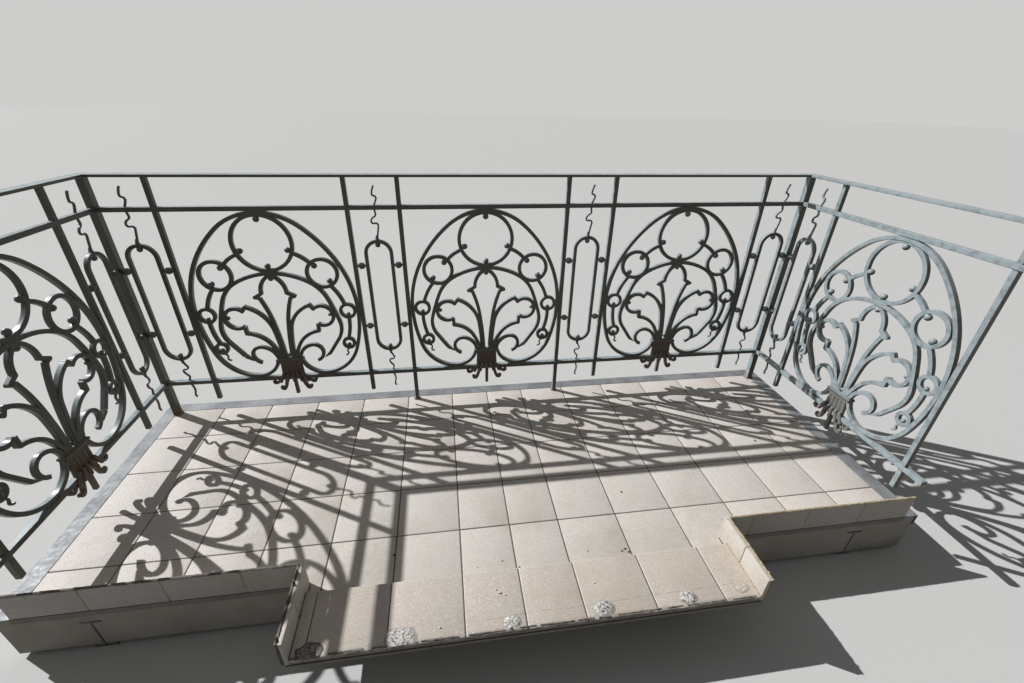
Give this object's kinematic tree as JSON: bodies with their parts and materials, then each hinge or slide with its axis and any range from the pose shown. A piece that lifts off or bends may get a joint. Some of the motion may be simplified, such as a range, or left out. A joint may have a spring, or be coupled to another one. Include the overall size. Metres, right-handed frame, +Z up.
{
  "type": "iron balcony",
  "caption": "Tiled balcony with a wrought-iron railing of rosettes, oblong links and square bars.",
  "frame": {"origin": "middle of the slab's end face, where the balcony meets the facade", "axes": "+X along the facade to the right as seen from the room, +Y out to the street, +Z up"},
  "size_m": [2.814, 1.197, 1.145],
  "materials": {
    "painted_iron": "worn grey-green paint with a little rust",
    "painted_steel": "matt paint",
    "zinc": "weathered zinc sheet",
    "tiles": "unglazed speckled stoneware",
    "concrete": "lime render"
  },
  "bodies": {
    "root": {"slab": "concrete", "joist_1": "painted_steel", "joist_2": "painted_steel", "joist_3": "painted_steel", "joist_4": "painted_steel", "tile_bed": "tiles", "threshold": "tiles", "skirting_left": "tiles", "skirting_right": "tiles", "flashing": "zinc", "handrail_front": "painted_iron", "handrail_left": "painted_iron", "handrail_right": "painted_iron", "upper_rail_front": "painted_iron", "upper_rail_left": "painted_iron", "upper_rail_right": "painted_iron", "lower_rail_front": "painted_iron", "lower_rail_left": "painted_iron", "lower_rail_right": "painted_iron", "corner_post_left": "painted_iron", "corner_post_right": "painted_iron", "bar_front_1": "painted_iron", "bar_front_2": "painted_iron", "bar_front_3": "painted_iron", "bar_front_4": "painted_iron", "bar_front_5": "painted_iron", "bar_front_6": "painted_iron", "bars_left": "painted_iron", "bars_right": "painted_iron", "link_front_1": "painted_iron", "link_front_2": "painted_iron", "link_front_3": "painted_iron", "link_front_4": "painted_iron", "link_left": "painted_iron", "link_right": "painted_iron", "rosette_front_1": "painted_iron", "rosette_front_2": "painted_iron", "rosette_front_3": "painted_iron", "rosette_left": "painted_iron", "rosette_right": "painted_iron", "collar_front_1": "painted_iron", "collar_front_2": "painted_iron", "collar_front_3": "painted_iron", "collar_left": "painted_iron", "collar_right": "painted_iron"}
  },
  "joints": []
}
